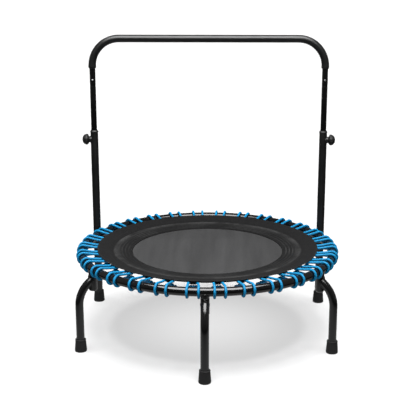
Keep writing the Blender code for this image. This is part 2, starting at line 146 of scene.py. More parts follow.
# Bungee cords
CORD_COUNT = 30
CORD_RADIUS = 0.0045
CORD_SPREAD = radians(2.2)
CORD_EYE_RADIUS = 0.4063
CORD_EYE_HEIGHT = 0.3165
CORD_BEND = 0.0052
CORD_RISE = 0.0030
WRAP_HALF_ANGLE = radians(103)
KNOT_RADIUS = 0.4050  # from the middle of the mat
KNOT_HEIGHT = 0.2970
KNOT_TURNS = 2.5
KNOT_PITCH = 1.95 * CORD_RADIUS
KNOT_HALF_WIDTH = 0.0062
KNOT_HALF_HEIGHT = 0.0066
UNEVEN_SPREAD = 0.22  # degrees
MOST_SAG = 0.0012
SLIPPED_CORD = CORD_COUNT - 1  # left of the front leg, its loop has crept towards the leg
CORD_SLIP = radians(1.1)

# Handlebar
POST_TUBE = 0.01525
POST_TOP = 0.7185
ARM_TUBE = 0.0125
ARM_HEIGHT = 0.262
BAR_TUBE = 0.0116
BAR_BORE = 0.0101
UPPER_POST_BOTTOM = 0.470
JOINT_SHOULDER = 0.905
JOINT_SPIGOT = 0.0094
SPIGOT_TOP = JOINT_SHOULDER + 0.02
BAR_HEIGHT = 1.0906
BAR_BEND = 0.107
FOAM_RADIUS = 0.0150
FOAM_BORE = 0.0120
FOAM_END = 0.9745
CREASE_PITCH = 0.0105  # of the foam, inside its bends
BUSH_RADIUS = 0.0168
BUSH_BORE = 0.0120
BUSH_TOP = 0.7268
BUSH_BOTTOM = 0.6975
BUSH_SLEEVE = 0.0134

# Clamps and snap buttons
CLAMP_HEIGHT = middle("left_clamp_knob").z
BOSS_RADIUS = 0.0125
BOSS_END = 0.0190
KNOB_START = 0.0194
KNOB_FLUTES = 12
FLUTE_DEPTH = 0.0008
STUD_BORE = 0.0042  # in the knob
STUD_HOLE = 0.0044  # in the boss
BUTTON_HEIGHT = middle("left_snap_button").z
BUTTON_RADIUS = 0.0033
BUTTON_PROUD = 0.0020
BUTTON_BACK = 0.0058  # from the post's axis

RING_TURN = 300  # faces round the frame
TUBE_SIDES = 40
DETAIL_SIDES = 32


def polar(radius, angle, height=0.0):
    """A point at an angle about Z, in radians."""
    return Vector((radius * cos(angle), radius * sin(angle), height))


def at_angle(radius, degrees_round, height=0.0):
    return polar(radius, radians(degrees_round), height)


def turned(degrees_round):
    return Matrix.Rotation(radians(degrees_round), 4, "Z")


def angles_round(count):
    return [2 * pi * i / count for i in range(count)]


def mixed(a, b, share):
    return a + (b - a) * share


def smoothstep(low, high, value):
    t = min(max((value - low) / (high - low), 0.0), 1.0)
    return t * t * (3 - 2 * t)


def rough_at(x, y, z=0.0):
    """Smooth noise from about -1 to 1."""
    return noise.noise(Vector((x, y, z)))


# Meshes


def add_skin(bm, rows, loop=False):
    """Faces over closed rows of points; a row of one point is a tip, and open ends get caps.

    u runs round a row from 0 to 1, and v is the length along the rows in metres.
    """
    uv = bm.loops.layers.uv.verify()
    rings = [[bm.verts.new(point) for point in row] for row in rows]
    nexts = rings[1:] + rings[:1] if loop else rings[1:]
    along = 0.0
    for first, second in zip(rings, nexts):
        count = max(len(first), len(second))
        length = (second[0].co - first[0].co).length
        for j in range(count):
            corners = {}
            for ring, step, v in ((first, 0, 0), (first, 1, 0), (second, 1, 1), (second, 0, 1)):
                vert = ring[(j + step) % len(ring)]
                corners.setdefault(vert, ((j + step) / count, along + v * length))
            face = bm.faces.new(list(corners))
            for corner, place in zip(face.loops, corners.values()):
                corner[uv].uv = place
        along += length
    if not loop:
        for end in (rings[0], rings[-1]):
            if len(end) > 1:
                bm.faces.new(end)


def lathe_rows(profile, sides=DETAIL_SIDES, matrix=None):
    """Circles about Z through (radius, height) points."""
    rows = []
    for radius, height in profile:
        count = 1 if radius < 1e-6 else sides
        ring = [polar(radius, a, height) for a in angles_round(count)]
        rows.append([matrix @ p for p in ring] if matrix else ring)
    return rows


def tube_rows(path, radius, sides=DETAIL_SIDES, side=None, loop=False):
    """Circles square to a path. radius is a length, or a function of the row and the angle."""
    count = len(path)
    side = side or (path[1] - path[0]).orthogonal().normalized()
    rows = []
    for i, point in enumerate(path):
        after = path[(i + 1) % count] if loop else path[min(i + 1, count - 1)]
        before = path[i - 1] if loop else path[max(i - 1, 0)]
        tangent = (after - before).normalized()
        side = (side - side.dot(tangent) * tangent).normalized()
        other = tangent.cross(side)
        ring = []
        for a in angles_round(sides):
            size = radius(i, a) if callable(radius) else radius
            ring.append(point + size * (cos(a) * side + sin(a) * other))
        rows.append(ring)
    return rows


def filleted(*corners, steps=4):
    """An outline through (across, along, fillet) corners. One with no fillet stays sharp."""
    points = [Vector(corner[:2]) for corner in corners]
    outline = [points[0]]
    for i in range(1, len(points) - 1):
        corner, size = points[i], sum(corners[i][2:])
        if size == 0:
            outline.append(corner)
            continue
        back, on = points[i - 1] - corner, points[i + 1] - corner
        cut = min(size, 0.49 * back.length, 0.49 * on.length)
        start, end = corner + cut * back.normalized(), corner + cut * on.normalized()
        for step in range(steps + 1):
            t = step / steps
            outline.append(start * (1 - t) ** 2 + corner * 2 * t * (1 - t) + end * t * t)
    outline.append(points[-1])
    return [tuple(point) for point in outline]


def spline(points, spacing):
    """Points close together along a smooth curve through the given ones."""
    ends = [2 * points[0] - points[1], *points, 2 * points[-1] - points[-2]]
    path = []
    for a, b, c, d in zip(ends, ends[1:], ends[2:], ends[3:]):
        steps = max(1, round((c - b).length / spacing))
        for i in range(steps):
            t = i / steps
            bend = (2 * a - 5 * b + 4 * c - d) * t + (3 * b - a - 3 * c + d) * t * t
            path.append(b + 0.5 * t * ((c - a) + bend))
    return [*path, points[-1]]


def add_bead(bm, path, seed=0.0):
    """A weld bead round a closed path, rippled like a row of overlapping drops."""

    def size(i, angle):
        ripple = 0.14 * sin(2 * pi * i / 4) + 0.12 * rough_at(i * 0.7, seed, cos(angle))
        return BEAD * (1 + ripple)

    add_skin(bm, tube_rows(path, size, 10, loop=True), loop=True)


def linked(name, data):
    """A new object in the scene."""
    obj = bpy.data.objects.new(name, data)
    bpy.context.scene.collection.objects.link(obj)
    return obj


def mesh_of(bm, name, sharp_above=35):
    bmesh.ops.recalc_face_normals(bm, faces=bm.faces)
    mesh = bpy.data.meshes.new(name)
    bm.to_mesh(mesh)
    bm.free()
    mesh.shade_smooth()
    mesh.set_sharp_from_angle(angle=radians(sharp_above))
    return mesh


def solid(rows, name="solid", sharp_above=35, loop=False):
    """A closed mesh of one skin."""
    bm = bmesh.new()
    add_skin(bm, rows, loop)
    return mesh_of(bm, name, sharp_above)


def joined(base, *others, operation="UNION"):
    """One mesh with the others united to it, or cut out of it for DIFFERENCE."""
    holder = linked("holder", base)
    helpers = [linked("helper", mesh) for mesh in others]
    for helper in helpers:
        modifier = holder.modifiers.new("Boolean", "BOOLEAN")
        modifier.operation = operation
        modifier.object = helper
    bpy.context.view_layer.update()
    graph = bpy.context.evaluated_depsgraph_get()
    result = bpy.data.meshes.new_from_object(holder.evaluated_get(graph))
    for obj in (holder, *helpers):
        bpy.data.objects.remove(obj)
    return result


def new_piece(name, mesh, look, *nodes, slot=None, place=None):
    """A piece that stands for the given nodes. Its slot is called as its look is. The slot argument is
    not used.
    """
    piece = linked(name, mesh)
    if not mesh.materials:
        mesh.materials.append(looks[look])
    piece.matrix_world = place or Matrix()
    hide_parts(*nodes)
    return piece


# Materials

SHADER = "Principled BSDF"
looks = {}


def add_node(tree, kind, inputs=None, **settings):
    node = tree.nodes.new("ShaderNode" + kind)
    for key, value in settings.items():
        setattr(node, key, value)
    for key, value in (inputs or {}).items():
        if isinstance(value, bpy.types.NodeSocket):
            tree.links.new(value, node.inputs[key])
        else:
            node.inputs[key].default_value = value
    return node


def calc(tree, operation, value, *others, clamp=False):
    """An operation on one value, or along a row of them."""
    for other in others or (0.0,):
        inputs = {0: value, 1: other}
        value = add_node(tree, "Math", inputs, operation=operation, use_clamp=clamp).outputs[0]
    return value


def new_look(name, **sockets):
    """A new material's tree; sockets are the shader's inputs that are the same all over."""
    material = bpy.data.materials.new(name)
    material.use_nodes = True
    tree = material.node_tree
    for key, value in sockets.items():
        tree.nodes[SHADER].inputs[key.replace("_", " ")].default_value = value
    looks[name] = material
    return tree


def place_of(tree, scale=(1.0, 1.0, 1.0)):
    """The piece's own coordinates, in metres, times scale."""
    source = add_node(tree, "TexCoord").outputs["Object"]
    return add_node(tree, "Mapping", {"Vector": source, "Scale": scale}).outputs["Vector"]


def cloud(tree, place, scale, detail=3.0, roughness=0.5):
    inputs = {"Vector": place, "Scale": scale, "Detail": detail, "Roughness": roughness}
    return add_node(tree, "TexNoise", inputs).outputs["Fac"]


def ranged(tree, value, low, high, out_low=0.0, out_high=1.0):
    inputs = {"Value": value, "From Min": low, "From Max": high}
    inputs |= {"To Min": out_low, "To Max": out_high}
    return add_node(tree, "MapRange", inputs, clamp=True).outputs["Result"]


def blended(tree, share, first, second):
    """A colour between two, each a colour or another node's output."""
    node = add_node(tree, "Mix", {"Factor": share}, data_type="RGBA", clamp_factor=True)
    colours = [socket for socket in node.inputs if socket.type == "RGBA"]
    for socket, colour in zip(colours, (first, second)):
        if isinstance(colour, bpy.types.NodeSocket):
            tree.links.new(colour, socket)
        else:
            socket.default_value = (*colour, 1.0)
    return next(socket for socket in node.outputs if socket.type == "RGBA")


def surface(tree, colour, roughness, height, distance, strength):
    """Feeds the shader its colour and roughness, and a bump of distance metres in height."""
    inputs = {"Height": height, "Distance": distance, "Strength": strength}
    normal = add_node(tree, "Bump", inputs).outputs["Normal"]
    for key, value in (("Base Color", colour), ("Roughness", roughness), ("Normal", normal)):
        tree.links.new(value, tree.nodes[SHADER].inputs[key])


def paint_look(name, colour, smoothest, roughest, peel):
    """Black powder coat: slightly uneven gloss and a fine orange peel."""
    tree = new_look(name, Specular_IOR_Level=0.5)
    place = place_of(tree)
    broad = cloud(tree, place, 14.0)
    fine = cloud(tree, place, 700.0, 2.0)
    lighter = tuple(1.5 * c for c in colour)
    tint = blended(tree, ranged(tree, broad, 0.35, 0.7), colour, lighter)
    roughness = ranged(tree, broad, 0.3, 0.7, smoothest, roughest)
    surface(tree, tint, roughness, fine, peel, 0.5)


def rubber_look():
    """Matt black rubber with a fine grain, and dust where it meets the floor."""
    tree = new_look("foot_rubber", Specular_IOR_Level=0.35)
    place = place_of(tree)
    grain = cloud(tree, place, 900.0, 3.0)
    height = add_node(tree, "SeparateXYZ", {"Vector": place}).outputs["Z"]
    dust = ranged(tree, height, 0.0, 0.009, 1.0, 0.0)
    patchy = calc(tree, "MULTIPLY", dust, cloud(tree, place, 160.0), clamp=True)
    tint = blended(tree, patchy, (0.008, 0.008, 0.0083), (0.030, 0.029, 0.028))
    surface(tree, tint, ranged(tree, grain, 0.3, 0.7, 0.68, 0.85), grain, 0.0004, 0.6)


def threads(tree, place, pitch):
    """Height of a plain weave of round threads, from 0 to 1, over X and Y."""
    parts = add_node(tree, "SeparateXYZ", {"Vector": place}).outputs
    warp = calc(tree, "SINE", calc(tree, "MULTIPLY", parts["X"], pi / pitch))
    weft = calc(tree, "SINE", calc(tree, "MULTIPLY", parts["Y"], pi / pitch))
    over = calc(tree, "MULTIPLY", warp, weft)
    ridge = calc(tree, "MAXIMUM", calc(tree, "ABSOLUTE", warp), calc(tree, "ABSOLUTE", weft))
    return calc(tree, "ADD", calc(tree, "MULTIPLY", over, 0.35), ridge)


def mat_look():
    """Grey woven polypropylene with faint streaks along its warp."""
    tree = new_look("mat_weave", Specular_IOR_Level=0.16)
    place = place_of(tree)
    weave = threads(tree, place, MAT_THREAD)
    streak = cloud(tree, place_of(tree, (26.0, 2.2, 1.0)), 1.0, 4.0)
    tone = calc(tree, "ADD", calc(tree, "MULTIPLY", streak, 0.7), calc(tree, "MULTIPLY", weave, 0.2))
    tint = blended(tree, ranged(tree, tone, 0.35, 0.75), MAT_DARK, MAT_LIGHT)
    surface(tree, tint, ranged(tree, weave, 0.2, 1.2, 0.78, 0.58), weave, 0.00022, 0.7)


def cover_look():
    """Black coated cloth: fine weave, a glossier band along the crease and on the ripple crests, whose
    colour is also lightened as a painted highlight, duller outside it.
    """
    tree = new_look("cover_fabric", Specular_IOR_Level=0.12)
    place = place_of(tree)
    flat = add_node(tree, "VectorMath", {0: place, 1: (1.0, 1.0, 0.0)}, operation="MULTIPLY")
    length = add_node(tree, "VectorMath", {0: flat.outputs[0]}, operation="LENGTH")
    radius = length.outputs["Value"]
    # The band just inside the crease and the ripple crests are less rough, and their colour is lighter:
    # a painted highlight.
    rising = ranged(tree, radius, CREASE_RADIUS - 0.030, CREASE_RADIUS - 0.003)
    falling = ranged(tree, radius, CREASE_RADIUS + 0.001, CREASE_RADIUS + 0.007, 1.0, 0.0)
    patch = ranged(tree, cloud(tree, place, 13.0, 5.0, 0.6), 0.40, 0.60, 0.20, 1.0)
    near = calc(tree, "MULTIPLY", calc(tree, "POWER", rising, 1.6), falling, patch)
    turns = calc(tree, "MULTIPLY", calc(tree, "SUBTRACT", radius, COVER_INNER), 2 * pi / RIPPLE)
    ridge = ranged(tree, calc(tree, "SINE", turns), 0.1, 1.0, 0.0, 0.75)
    inside = ranged(tree, radius, CREASE_RADIUS - 0.008, CREASE_RADIUS - 0.014)
    past_edge = ranged(tree, radius, COVER_INNER + 0.005, COVER_INNER + 0.010)
    broken = ranged(tree, cloud(tree, place, 9.0, 4.0), 0.42, 0.60, 0.1, 1.0)
    ridge = calc(tree, "MULTIPLY", ridge, inside, past_edge, broken)
    gloss_and_painted_highlight = calc(tree, "MAXIMUM", near, ridge, clamp=True)
    weave = threads(tree, place, COVER_THREAD)
    crumple = cloud(tree, place, 70.0, 5.0, 0.6)
    # Painted shade: the colour darkens within a few millimetres of the inner edge, for the dark line
    # where the cover steps up off the mat.
    hem = ranged(tree, radius, COVER_INNER + 0.003, COVER_INNER + 0.006)
    dull = blended(tree, crumple, (0.0035, 0.0035, 0.0036), (0.0105, 0.0105, 0.0108))
    dull = blended(tree, hem, (0.0015, 0.0015, 0.0015), dull)
    rough = ranged(tree, radius, COVER_MIDDLE - 0.004, COVER_MIDDLE + 0.004, 0.48, 0.70)
    rough = calc(tree, "SUBTRACT", rough, calc(tree, "MULTIPLY", gloss_and_painted_highlight, 0.14))
    height = calc(tree, "ADD", crumple, calc(tree, "MULTIPLY", weave, 0.12))
    # Painted highlight: a lighter base colour on the crease band and the ripple crests.
    tint = blended(tree, gloss_and_painted_highlight, dull, (0.034, 0.034, 0.034))
    surface(tree, tint, rough, height, 0.0017, 0.75)


def webbing_look(name, colour, pitch):
    """Ribbed black webbing or thread."""
    tree = new_look(name, Specular_IOR_Level=0.3, Sheen_Weight=0.1)
    place = place_of(tree)
    weave = threads(tree, place, pitch)
    lighter = tuple(1.9 * c for c in colour)
    tint = blended(tree, ranged(tree, weave, 0.3, 1.3), colour, lighter)
    surface(tree, tint, ranged(tree, weave, 0.3, 1.3, 0.9, 0.7), weave, 0.0003, 0.6)


def bungee_look():
    """Blue braided sheath: strands cross both ways round the cord."""
    tree = new_look("bungee", Specular_IOR_Level=0.25)
    parts = add_node(tree, "SeparateXYZ", {"Vector": add_node(tree, "UVMap").outputs["UV"]}).outputs
    across = calc(tree, "MULTIPLY", parts["X"], 2 * pi * BRAID_STRANDS)
    along = calc(tree, "MULTIPLY", parts["Y"], 2 * pi / BRAID_PITCH)
    one_way = calc(tree, "SINE", calc(tree, "ADD", across, along))
    other_way = calc(tree, "SINE", calc(tree, "SUBTRACT", across, along))
    braid = calc(tree, "MAXIMUM", one_way, other_way)
    fibre = cloud(tree, place_of(tree), 1500.0, 2.0)
    tone = calc(tree, "ADD", calc(tree, "MULTIPLY", braid, 0.6), calc(tree, "MULTIPLY", fibre, 0.4))
    tint = blended(tree, ranged(tree, tone, -0.4, 0.8), BUNGEE_DARK, BUNGEE_LIGHT)
    surface(tree, tint, ranged(tree, braid, -0.6, 1.0, 0.7, 0.45), braid, 0.00035, 0.7)


def foam_look():
    """Charcoal closed-cell foam: fine pores and soft, uneven sheen."""
    tree = new_look("foam", Specular_IOR_Level=0.42)
    place = place_of(tree)
    pores = add_node(tree, "TexVoronoi", {"Vector": place, "Scale": 900.0}).outputs["Distance"]
    broad = cloud(tree, place, 30.0, 4.0)
    tint = blended(tree, broad, (0.008, 0.0082, 0.0082), (0.015, 0.0152, 0.015))
    height = calc(tree, "ADD", pores, calc(tree, "MULTIPLY", broad, 1.5))
    surface(tree, tint, ranged(tree, pores, 0.1, 0.7, 0.42, 0.30), height, 0.0003, 0.5)


def plastic_look():
    """Moulded black plastic with a spark-eroded texture."""
    tree = new_look("black_plastic", Specular_IOR_Level=0.35)
    place = place_of(tree)
    grain = cloud(tree, place, 1400.0, 2.0)
    broad = cloud(tree, place, 60.0)
    tint = blended(tree, broad, (0.0038, 0.0038, 0.0038), (0.007, 0.007, 0.007))
    surface(tree, tint, ranged(tree, broad, 0.3, 0.7, 0.46, 0.58), grain, 0.0002, 0.4)


def steel_look():
    """Zinc-plated steel with fine scratches."""
    tree = new_look("steel", Metallic=1.0)
    place = place_of(tree, (1.0, 1.0, 0.15))
    scratch = cloud(tree, place, 2400.0, 3.0)
    tint = blended(tree, scratch, (0.38, 0.38, 0.39), (0.60, 0.60, 0.61))
    surface(tree, tint, ranged(tree, scratch, 0.3, 0.7, 0.26, 0.42), scratch, 0.0001, 0.3)


MAT_THREAD = 0.0013  # from one thread to the next
COVER_THREAD = 0.0009
BRAID_PITCH = 0.0036
BRAID_STRANDS = 8
MAT_DARK = (0.026, 0.026, 0.0265)
MAT_LIGHT = (0.044, 0.044, 0.0448)
BUNGEE_DARK = (0.0004, 0.150, 0.360)
BUNGEE_LIGHT = (0.0010, 0.250, 0.500)


def make_looks():
    paint_look("frame_paint", (0.0030, 0.0030, 0.0031), 0.10, 0.16, 0.00004)
    paint_look("leg_paint", (0.0034, 0.0034, 0.0034), 0.17, 0.24, 0.00006)
    paint_look("post_paint", (0.0034, 0.0034, 0.0034), 0.34, 0.42, 0.00006)
    paint_look("bar_paint", (0.0036, 0.0036, 0.0037), 0.20, 0.28, 0.00006)
    paint_look("bolt_black", (0.0060, 0.0060, 0.0060), 0.42, 0.55, 0.00010)
    rubber_look()
    mat_look()
    cover_look()
    webbing_look("webbing", (0.0045, 0.0045, 0.0048), 0.0011)
    webbing_look("thread", (0.008, 0.008, 0.0083), 0.0004)
    bungee_look()
    foam_look()
    plastic_look()
    steel_look()


# Frame


def saddle_path(steps=64):
    """Where the outside of a socket's collar meets the frame tube, at angle zero."""
    path = []
    for a in angles_round(steps):
        x, y = RING_RADIUS + COLLAR_RADIUS * cos(a), COLLAR_RADIUS * sin(a)
        off = hypot(x, y) - RING_RADIUS
        path.append(Vector((x, y, RING_HEIGHT - sqrt(FRAME_TUBE**2 - off**2))))
    return path


def make_frame_ring():
    bm = bmesh.new()
    section = [(FRAME_TUBE * cos(a), FRAME_TUBE * sin(a)) for a in angles_round(TUBE_SIDES)]
    rows = []
    for angle in angles_round(RING_TURN):
        rows.append([at_angle(RING_RADIUS + x, degrees(angle), RING_HEIGHT + z) for x, z in section])
    add_skin(bm, rows, loop=True)
    socket = filleted(
        (COLLAR_RADIUS, COLLAR_TOP),
        (COLLAR_RADIUS, COLLAR_BOTTOM, 0.0008),
        (SPIGOT_RADIUS, COLLAR_BOTTOM),
        (SPIGOT_RADIUS, SPIGOT_BOTTOM, 0.0015),
        (0.0, SPIGOT_BOTTOM),
    )
    for seed, angle in enumerate(SOCKET_ANGLES):
        place = Matrix.Translation(at_angle(RING_RADIUS, angle))
        add_skin(bm, lathe_rows(socket, matrix=place))
        add_bead(bm, [turned(angle) @ p for p in saddle_path()], seed)
    ring = new_piece("ring_tube", mesh_of(bm, "ring_tube", 50), "frame_paint", "frame_ring")
    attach(ring, "frame")


def stub_rows(matrix=None):
    """The closed-ended tube that pushes up on to a socket."""
    profile = filleted(
        (0.0, STUB_BOTTOM),
        (FRAME_TUBE - STUB_CHAMFER, STUB_BOTTOM, 0.002),
        (FRAME_TUBE, STUB_BOTTOM + STUB_CHAMFER, 0.002),
        (FRAME_TUBE, COLLAR_BOTTOM - GAP, 0.0007),
        (SPIGOT_RADIUS + GAP, COLLAR_BOTTOM - GAP, 0.0004),
        (SPIGOT_RADIUS + GAP, STUB_FLOOR),
        (0.0, STUB_FLOOR),
    )
    return lathe_rows(profile, TUBE_SIDES, matrix)


def arch_point(sweep, angle, size):
    """On the arch, at a sweep from its spring and an angle round its section, in the XZ plane."""
    out = ARCH_RADIUS + size * cos(angle)
    across = LEG_RADIUS - ARCH_RADIUS + out * cos(sweep)
    return Vector((across, size * sin(angle), ARCH_SPRING_HEIGHT + out * sin(sweep)))


def leg_path():
    """Up the straight part and over the arch into the stub."""
    rise = ARCH_SPRING_HEIGHT - FOOT_FLOOR
    ups, turns = 12, 36
    path = [Vector((LEG_RADIUS, 0.0, FOOT_FLOOR + rise * i / ups)) for i in range(ups)]
    return path + [arch_point(ARCH_SWEEP * i / turns, 0.0, 0.0) for i in range(turns + 1)]


def arch_meets_stub(angle):
    """Where a line along the arch's surface enters the stub, found by halving."""
    outside, inside = radians(20), ARCH_SWEEP + radians(2)
    halvings = 24
    for _ in range(halvings):
        sweep = (outside + inside) / 2
        point = arch_point(sweep, angle, LEG_TUBE)
        if hypot(point.x - RING_RADIUS, point.y) > FRAME_TUBE:
            outside = sweep
        else:
            inside = sweep
    return point


def add_bolt(bm, matrix):
    """A button head with a round recess, standing along the local Z axis."""
    head = filleted(
        (0.0, BOLT_RISE * 0.35),
        (BOLT_RADIUS * 0.42, BOLT_RISE * 0.35),
        (BOLT_RADIUS * 0.50, BOLT_RISE, 0.0003),
        (BOLT_RADIUS * 0.80, BOLT_RISE * 0.85, 0.0006),
        (BOLT_RADIUS, BOLT_RISE * 0.25, 0.0006),
        (BOLT_RADIUS, -0.002),
        (0.0, -0.002),
        steps=3,
    )
    add_skin(bm, lathe_rows(head, 24, matrix))


def make_legs():
    at_ring = Matrix.Translation((RING_RADIUS, 0.0, 0.0))
    tube = tube_rows(leg_path(), LEG_TUBE, TUBE_SIDES, BACKWARDS)
    bm = bmesh.new()
    bm.from_mesh(joined(solid(stub_rows(at_ring)), solid(tube)))
    add_bead(bm, [arch_meets_stub(a) for a in angles_round(72)], 3.0)
    mesh = mesh_of(bm, "leg", 40)
    for name, angle in STATION_ANGLES.items():
        place = turned(angle)
        leg = new_piece(f"{name}_arched_leg", mesh, "leg_paint", f"{name}_leg", place=place)
        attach(leg, "frame")


def make_bolts():
    """One screw through each stub holds it on its socket."""
    bm = bmesh.new()
    for angle in SOCKET_ANGLES:
        face = at_angle(RING_RADIUS + FRAME_TUBE, angle, BOLT_HEIGHT)
        add_bolt(bm, Matrix.Translation(face) @ turned(angle) @ Matrix.Rotation(pi / 2, 4, "Y"))
    mesh = mesh_of(bm, "leg_bolts", 30)
    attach(new_piece("leg_bolts", mesh, "bolt_black", slot="leg_paint"), "frame")


def make_feet():
    profile = filleted(
        (0.0, 0.0015),
        (0.0135, 0.0015, 0.0006),
        (0.0150, 0.0, 0.0010),
        (FOOT_BASE_RADIUS - 0.0010, 0.0, 0.0020),
        (FOOT_BASE_RADIUS, 0.0045, 0.0020),
        (0.0197, 0.0405, 0.0010),
        (0.0191, 0.0415, 0.0004),
        (0.0200, 0.0426, 0.0006),
        (0.0200, 0.0462, 0.0012),
        (FOOT_TOP_RADIUS - 0.0015, FOOT_HEIGHT, 0.0010),
        (0.0156, FOOT_HEIGHT, 0.0006),
        (0.0152, 0.0440, 0.0004),
        (0.0152, FOOT_FLOOR - 0.001),
        (0.0, FOOT_FLOOR - 0.001),
    )
    mesh = solid(lathe_rows(profile, 48), "foot", 45)
    names = [f"{name}_foot" for name in STATION_ANGLES] + [f"{n}_post_foot" for n in POST_ANGLES]
    for name in names:
        foot = new_piece(f"{name}_rubber", mesh, "foot_rubber", name, place=below(name))
        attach(foot, "frame")


# Mat


def make_mat():
    """The sheet, slightly uneven between its tabs, as one thin closed skin."""
    turn = angles_round(180)
    rings = 60
    radii = [SHEET_RADIUS * sqrt((i + 1) / rings) for i in range(rings)]

    def height(radius, angle):
        edge = smoothstep(0.30, SHEET_RADIUS, radius)
        pull = 0.00025 * edge * cos(CORD_COUNT * angle)
        spot = polar(9 * radius, angle)
        return pull + MAT_UNEVEN * (rough_at(spot.x, spot.y) - 1)

    def rows_at(level):
        return [[polar(r, a, level + height(r, a)) for a in turn] for r in radii]

    upper, lower = rows_at(SHEET_TOP), rows_at(SHEET_BOTTOM)
    centres = [[Vector((0.0, 0.0, level + height(0.0, 0.0)))] for level in (SHEET_TOP, SHEET_BOTTOM)]
    mesh = solid([centres[0], *upper, *lower[::-1], centres[1]], "mat_cloth", 50)
    sheet = new_piece("mat_cloth", mesh, "mat_weave", "mat_sheet")
    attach(sheet, "mat")


def add_tab(bm, turn):
    """A folded webbing strap: two plies out from the hem, and round the cord at its end."""
    room = CORD_RADIUS + GAP
    eye, rise = CORD_EYE_RADIUS, CORD_EYE_HEIGHT
    lean = (rise - HEM_TOP) / (eye - HEM_OUTER)
    loop_end = []
    steps = 16
    for i in range(steps + 1):
        angle = TAB_LOOP * (0.5 - i / steps)
        ring = Vector((cos(angle), sin(angle)))
        loop_end.append(Vector((eye, rise)) + (room + TAB_PLY) * ring)
    sewn = HEM_INNER + 0.004
    bend = HEM_OUTER - 0.002
    hem_top = HEM_TOP + TAB_PLY
    neck = Vector((eye - TAB_NECK, rise - TAB_NECK * lean))
    ply = Vector((0.0, TAB_PLY))
    strap_top = [Vector((sewn, hem_top)), Vector((bend, hem_top)), neck + ply]
    strap_end = [neck - ply, Vector((HEM_OUTER + 0.0006, HEM_TOP - TAB_PLY))]
    strap_end += [Vector((bend, HEM_TOP)), Vector((sewn, HEM_TOP))]
    outline = strap_top + loop_end + strap_end
    heart = Vector((eye - 0.0085, rise - 0.0085 * lean))
    rows = []
    for side in (-0.5, -0.47, -0.2, 0.2, 0.47, 0.5):
        thinner = TAB_ROUNDING if abs(side) == 0.5 else 0.0
        row = []
        for point in outline:
            inward = (heart - point).normalized() * thinner
            row.append(turn @ Vector((point.x + inward.x, side * TAB_WIDTH, point.y + inward.y)))
        rows.append(row)
    add_skin(bm, rows)


def make_hem():
    """The webbing band on the mat's edge, and its tabs."""
    bm = bmesh.new()
    band = [
        (HEM_INNER, SHEET_TOP + GAP),
        (HEM_INNER, HEM_TOP - 0.0004),
        (HEM_INNER + 0.0004, HEM_TOP),
        (HEM_OUTER - 0.0006, HEM_TOP),
        (HEM_OUTER, HEM_TOP - 0.0008),
        (HEM_OUTER, SHEET_TOP + GAP),
    ]
    add_skin(bm, lathe_rows(band, 240), loop=True)
    for i in range(CORD_COUNT):
        add_tab(bm, turned(360.0 * i / CORD_COUNT))
    mesh = mesh_of(bm, "mat_hem_webbing", 40)
    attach(new_piece("mat_hem_webbing", mesh, "webbing", "mat_hem"), "mat")


def cover_height(radius, angle):
    """The cover's top above the sheet: its slope, ripples round the inside, crease and edge."""
    if radius < COVER_MIDDLE:
        slope = (radius - COVER_INNER) / (COVER_MIDDLE - COVER_INNER) * COVER_MIDDLE_RISE
    else:
        out = (radius - COVER_MIDDLE) / (COVER_OUTER - COVER_MIDDLE)
        slope = mixed(COVER_MIDDLE_RISE, COVER_OUTER_RISE, out)

    def uneven(count, along):
        """Noise with about count lumps in a radian round the ring."""
        return rough_at(count * cos(angle), count * sin(angle), along)

    inner = smoothstep(COVER_INNER + 0.004, COVER_INNER + 0.012, radius)
    inner *= 1 - smoothstep(CREASE_RADIUS - 0.012, CREASE_RADIUS, radius)
    wave = sin(2 * pi * (radius - COVER_INNER) / RIPPLE)
    ripple = RIPPLE_RISE * inner * (0.55 + 0.45 * uneven(5, 20 * radius)) * (1 + wave)
    crease_at = CREASE_RADIUS + 0.0025 * uneven(2.2, 1.0) + 0.0012 * uneven(9, 3.0)
    off = (radius - crease_at) / CREASE_WIDTH
    crease = (CREASE_RISE + 0.0007 * uneven(14, 5.0)) * exp(-off * off)
    off_trough = (radius - crease_at - 0.007) / 0.0045
    crease -= TROUGH_DEPTH * exp(-off_trough * off_trough)
    folds = FOLD_RISE * uneven(26, 60 * radius) * inner
    bulge = BULGE_RISE * uneven(3, 16 * radius) * smoothstep(0.30, 0.38, radius)
    pitch = 2 * pi / CORD_COUNT
    off_tab = (angle + pitch / 2) % pitch - pitch / 2
    near_cord = 0.0
    for side in (-1, 1):
        near_cord += exp(-(((off_tab - side * CORD_SPREAD) / CORD_MARK) ** 2))
    edge = CORD_LIFT * (near_cord - 0.6) * smoothstep(0.398, COVER_OUTER, radius)
    return slope + ripple + crease + folds + bulge + edge


def make_cover():
    """The cloth ring over the mat's edge and the cords' inner ends, as a thin closed skin."""
    turn = angles_round(450)
    steps = 100
    upper, lower = [], []
    for i in range(steps + 1):
        radius = mixed(COVER_INNER, COVER_OUTER, i / steps)
        rounding = 0.0009 * smoothstep(-COVER_EDGE, 0.0, COVER_INNER - radius)
        top, under = [], []
        for a in turn:
            z = COVER_BASE + cover_height(radius, a) - rounding
            low = max(z - COVER_THICKNESS + rounding, SHEET_TOP + GAP)
            if HEM_INNER - 0.002 < radius < HEM_OUTER + 0.004:
                low = max(low, HEM_TOP + TAB_PLY + GAP)
            top.append(polar(radius, a, max(z, low + 0.0008)))
            under.append(polar(radius, a, low))
        upper.append(top)
        lower.append(under)
    edge = []
    for a, top, under in zip(turn, upper[-1], lower[-1]):
        edge.append(Vector((*(1.0016 * top).xy, (top.z + under.z) / 2)))
    mesh = solid([*upper, edge, *lower[::-1]], "edge_cover", 70, loop=True)
    cover = new_piece("edge_cover", mesh, "cover_fabric", "mat_skirt")
    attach(cover, "mat")
    make_stitches()


